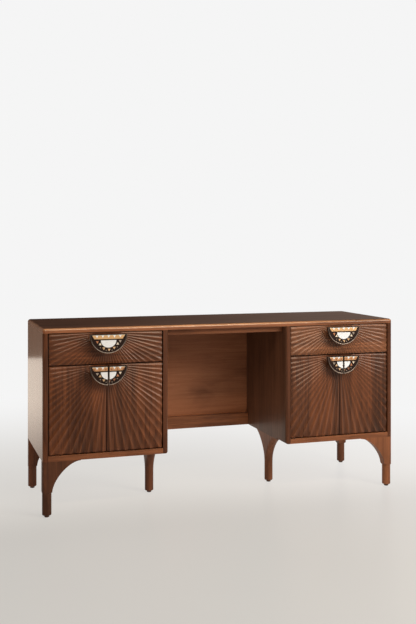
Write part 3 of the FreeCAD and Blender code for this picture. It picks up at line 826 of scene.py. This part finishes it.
def dress_case():
    """Every board and leg of the case, with its own cut of wood."""
    case_low, case_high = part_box("left_outer_side")
    joints = (case_low.z, case_high.z)
    upright = {"tones": BROWN, "figure": 0.6}
    # Level boards take the lighter tones with the painted sheen
    level = {"tones": RAIL_PAINTED_SHEEN, "figure": 0.7}
    panel = {"tones": PANEL, "figure": 0.4, "coat": 0.1, "masked": [(facing_back, BROWN)]}
    knee = {"tones": KNEE, "figure": 0.5, "masked": [(facing_front, STILE)]}
    # The top: its own tones on the level face, and a painted highlight with rubbed wood on the front
    # roundover
    slab = dict(level, specular=0.25, coat=slab_lacquer, coat_rough=0.13,
                masked=[(facing_up, TOP), (on_roundover, ROUNDOVER_RUBBED_AND_HIGHLIGHT)])
    outer = {"tones": SIDE, "figure": 0.6, "coat": side_lacquer, "coat_rough": 0.12}
    stiles = {"left": BROWN, "right": STILE}
    left_post = {"tones": POST, "figure": 0.5}
    right_post = dict(level, figure=0.5)
    posts = {
        "left": {"front": left_post, "inner": upright},
        "right": {"front": right_post, "inner": right_post},
    }
    cuts = {
        "desktop": ("x", SLAB_EASE, slab),
        "kneehole_apron": ("x", RAIL_EASE, level),
        "modesty_panel": ("x", PANEL_EASE, panel),
        "modesty_rail": ("x", RAIL_EASE, level),
        "left_bottom_panel": ("x", BOARD_EASE, level),
        "right_bottom_panel": ("x", BOARD_EASE, level),
    }
    for side in ("left", "right"):
        cuts[side + "_outer_side"] = ("z", SIDE_EASE, dict(outer, masked=[(facing_front, stiles[side])]))
        cuts[side + "_inner_side"] = ("z", SIDE_EASE, knee)
        cuts[side + "_back_panel"] = ("z", BOARD_EASE, upright)
        cuts[side + "_front_leg"] = ("z", LEG_EASE, posts[side]["front"])
        cuts[side + "_rear_leg"] = ("z", LEG_EASE, upright)
        cuts[side + "_inner_leg"] = ("z", LEG_EASE, posts[side]["inner"])
    for number, (node, (grain, ease, look)) in enumerate(cuts.items()):
        piece = eased(node, ease, joints, open_ends=node == "desktop")
        paint(piece, wood("wood_" + node, grain, seed=CASE_SEED + number, **look))
    for number, node in enumerate(n for n, slot in slot_of_node.items() if slot == "inner_wood"):
        grain = "y" if node.endswith("_sides") or node == "shelf_cleats" else "x"
        piece = eased(node, INNER_EASE)
        paint(piece, wood("wood_" + node, grain, INNER, INNER_SEED + number, rough=0.5))


def dress_fronts():
    """The carved drawer fronts and doors, with their pulls and inlays."""
    inlays = {name: tile_material("inlay_" + name, **tones) for name, tones in INLAY_TONES.items()}
    drawer_metal = pull_metal("drawer_pull_metal", "left_drawer_pull")
    door_metal = pull_metal("door_pull_metal", "left_pedestal_left_door_pull")
    for number, side in enumerate(("left", "right")):
        tones = FRONT_TONES[side]
        drawer = side + "_drawer_front"
        drawer_low, drawer_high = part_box(drawer)
        centre_x = (drawer_low.x + drawer_high.x) / 2
        front = carved_front(drawer, centre_x)
        paint(front, wood("wood_" + drawer, "x", tones["drawer"], DRAWER_SEED + number, **FRONT_LOOK))
        kinds = {side + "_drawer": "drawer"}
        for hand in ("left", "right"):
            door = side + "_pedestal_" + hand + "_door"
            kinds[door] = hand + "_door"
            seed = DOOR_SEED + number * 2 + (hand == "right")
            front = carved_front(door, centre_x)
            look = dict(FRONT_LOOK, staves=("x", STAVE_WIDTH))
            paint(front, wood("wood_" + door, "z", tones["door"], seed, **look))
        for name, kind in kinds.items():
            paint(eased(name + "_pull", PULL_EASE), drawer_metal if kind == "drawer" else door_metal)
            inlay(name + "_pull", name + "_inlay", centre_x, kind, inlays)


def dress_hardware():
    """Finishes on the slides, pivots, bushes, catches and glides."""
    bronzed = lined_metal("bronzed_steel", rgb(62, 50, 42), rgb(84, 70, 60), STEEL_LINES, STEEL_ROUGH)
    steel = lined_metal("hardware_steel", rgb(150, 150, 152), rgb(190, 190, 190), STEEL_LINES, STEEL_ROUGH)
    finishes = {
        "hardware_steel": steel,
        "bush_brass": lined_metal("bush_brass", BRASS_DARK, BRASS_LIGHT, BRASS_LINES, BRASS_ROUGH),
        "catch_plastic": moulded("catch_plastic", rgb(44, 32, 26), rgb(60, 46, 38)),
        "glide_plastic": moulded("glide_plastic", rgb(70, 46, 34), rgb(96, 68, 52)),
    }
    for node, slot in slot_of_node.items():
        if slot in finishes:
            paint(nodes[node], bronzed if "pivot_plates" in node else finishes[slot])


# Stage, light and camera

BACKDROP = rgb(245, 245, 245)

# Floor: a grey pool in front of the desk that fades into the backdrop; the floor glows, painted light that is
# dimmer in front of the desk and stronger under and behind it
FLOOR_RADIUS = 5.1
FLOOR_CORNERS = 96
FLOOR_DARK = rgb(112, 111, 108)
FLOOR_LIGHT = rgb(118, 117, 114)
FLOOR_CLOUDS = 1.3
FLOOR_ROUGH = 0.3
FLOOR_SPECULAR = 0.3
FLOOR_TINT = (1.0, 0.975, 0.93, 1.0)
FLOOR_GLOW = 0.54
GLOW_SPAN = (-0.5, 0.15)
NEAR_GLOW_SHARE = 0.89
FAR_GLOW_SHARE = 1.12
MIRRORED_GLOW_SHARE = 0.2
POOL_CENTRE = (-1.0, -1.2, 0.0)
POOL_SPAN = (1.0, 3.9)

# What polished faces mirror: the floor's far part, a dim room, and a window and a wall behind the desk
FLOOR_GLOSS = (1.14, 0.98, 0.83, 1.0)
ROOM_GLOSS = (0.085, 0.052, 0.038, 1.0)
WINDOW_GLOSS = (0.46, 0.35, 0.29, 1.0)
WALL_GLOSS = (0.215, 0.138, 0.096, 1.0)
BEHIND_SPAN = (0.4, 0.8)
WINDOW_SPAN = (0.15, 0.55)
WALL_SPAN = (-0.14, -0.04, 1.0, 0.0)

# Soft light of the room, from the front to the back and from level to straight up
SOFT_BACK = (-0.3, 0.7, 0.10, 0.5)
SOFT_UP = (0.1, 0.9, 1.0, 0.35)

# Lights
MIDDLE = (0.0, 0.0, 0.45)
KEY_PLACE = (1.75, -2.3, 1.72)
KEY_SIZE = (1.0, 0.8)
DAYLIGHT = (1.0, 0.96, 0.91)
WARM_LIGHT = (1.0, 0.86, 0.68)
GLINT = (1.0, 0.79, 0.58)
PALE_GLINT = (1.0, 0.9, 0.78)


def make_floor():
    """A pale floor that fades into the backdrop around a greyer pool in front of the desk, and glows with
    painted light, dimmer in front of the desk.
    """
    form = bmesh.new()
    bmesh.ops.create_circle(form, cap_ends=True, segments=FLOOR_CORNERS, radius=FLOOR_RADIUS)
    mesh = bpy.data.meshes.new("floor")
    form.to_mesh(mesh)
    form.free()
    floor = linked("floor", mesh)
    material, tools, shader = new_material("floor")
    place = tools.place()
    away = tools.add("VectorMath", operation="DISTANCE")
    tools.put_all(away.inputs, (place, POOL_CENTRE))
    far = tools.ramp(away.outputs["Value"], *POOL_SPAN)
    cloud = tools.noise(place, FLOOR_CLOUDS, detail=3.0)
    tools.put(shader.inputs["Base Color"], tools.mix(cloud, FLOOR_DARK, FLOOR_LIGHT))
    shader.inputs["Roughness"].default_value = FLOOR_ROUGH
    shader.inputs["Specular IOR Level"].default_value = FLOOR_SPECULAR
    shader.inputs["Emission Color"].default_value = FLOOR_TINT
    mirrored = tools.add("LightPath").outputs["Is Glossy Ray"]
    # The floor's painted glow: dimmer in front of the desk, stronger under and behind it
    shade = tools.ramp(tools.split(place)[AXES["y"]], *GLOW_SPAN, NEAR_GLOW_SHARE * FLOOR_GLOW,
                       FAR_GLOW_SHARE * FLOOR_GLOW)
    dimmed = tools.ramp(mirrored, 0.0, 1.0, 1.0, MIRRORED_GLOW_SHARE)
    tools.put(shader.inputs["Emission Strength"], tools.product(shade, dimmed))
    glow = tools.add("Emission")
    tools.put(glow.inputs["Color"], tools.mix(mirrored, BACKDROP, FLOOR_GLOSS))
    output = next(n for n in tools.nodes if n.type == "OUTPUT_MATERIAL")
    tools.put(output.inputs[0], tools.mix_shaders(far, shader.outputs[0], glow.outputs[0]))
    mesh.materials.append(material)


def make_world():
    """A white backdrop to the camera, a dim room in reflections, and soft light mostly from the back."""
    world = bpy.data.worlds.new("studio")
    bpy.context.scene.world = world
    world.use_nodes = True
    world.cycles.sampling_method = "NONE"
    tools = Nodes(world.node_tree)
    output = tools.add("OutputWorld")
    side, back, up = tools.split(tools.add("TexCoord").outputs["Generated"])
    path = tools.add("LightPath").outputs

    seen = tools.add("Background")
    seen.inputs["Color"].default_value = BACKDROP

    behind = tools.ramp(back, *BEHIND_SPAN)
    window = tools.product(tools.ramp(side, *WINDOW_SPAN), behind)
    wall = tools.product(tools.ramp(side, *WALL_SPAN), behind)
    dim = tools.add("Background")
    room = tools.mix(wall, tools.mix(window, ROOM_GLOSS, WINDOW_GLOSS), WALL_GLOSS)
    tools.put(dim.inputs["Color"], room)

    soft = tools.add("Background")
    strength = tools.product(tools.ramp(back, *SOFT_BACK), tools.ramp(up, *SOFT_UP))
    tools.put(soft.inputs["Strength"], strength)

    unseen = tools.mix_shaders(path["Is Glossy Ray"], soft.outputs[0], dim.outputs[0])
    tools.put(output.inputs[0], tools.mix_shaders(path["Is Camera Ray"], unseen, seen.outputs[0]))


def area_light(name, place, target, size, power, colour=DAYLIGHT, glossy=True, diffuse=True):
    """A rectangular light that the camera doesn't see, turned to a target."""
    data = bpy.data.lights.new(name, "AREA")
    data.shape = "RECTANGLE"
    data.size, data.size_y = size
    data.energy = power
    data.color = colour
    light = linked(name, data)
    light.location = place
    light.rotation_euler = (Vector(target) - Vector(place)).to_track_quat("-Z", "Y").to_euler()
    light.visible_camera = False
    light.visible_glossy = glossy
    light.visible_diffuse = diffuse


def make_lights():
    """Lights in front, above and at the left, and glints that show only in the polish."""
    area_light("key", KEY_PLACE, MIDDLE, KEY_SIZE, power=45, glossy=False)
    area_light("left_glint", KEY_PLACE, MIDDLE, KEY_SIZE, power=34, colour=GLINT, diffuse=False)
    area_light("right_glint", place=(0.66, -2.8, 2.06), target=(0.5, -0.2, 0.5), size=(1.2, 0.9),
               power=29, colour=GLINT, diffuse=False)
    area_light("edge_glint", place=(2.5, -2.3, 2.0), target=(0.7, -0.2, 0.65), size=(1.5, 0.6),
               power=30, colour=PALE_GLINT, diffuse=False)
    area_light("front", place=(1.3, -3.0, 1.6), target=MIDDLE, size=(0.9, 0.9), power=12, glossy=False)
    area_light("high", place=(0.2, -2.3, 2.5), target=(0.0, 0.0, 0.5), size=(2.8, 0.35),
               power=44, colour=WARM_LIGHT)
    area_light("left", place=(-3.2, -0.4, 1.3), target=(-0.7, 0.0, 0.4), size=(1.6, 1.6),
               power=14, glossy=False)


def make_camera():
    """A level camera at the photograph's viewpoint, shifted to its frame."""
    data = bpy.data.cameras.new("camera")
    data.sensor_width = SENSOR
    data.lens = FOCAL_PIXELS / IMAGE_HEIGHT * SENSOR
    data.shift_y = (PRINCIPAL_ROW - IMAGE_HEIGHT / 2) / IMAGE_HEIGHT
    camera = linked("camera", data)
    camera.location = CAMERA_PLACE
    camera.rotation_euler = (math.radians(90), 0, math.radians(CAMERA_YAW))
    bpy.context.scene.camera = camera


bpy.context.scene.view_settings.view_transform = "Standard"
dress_case()
dress_fronts()
dress_hardware()
make_floor()
make_world()
make_lights()
make_camera()
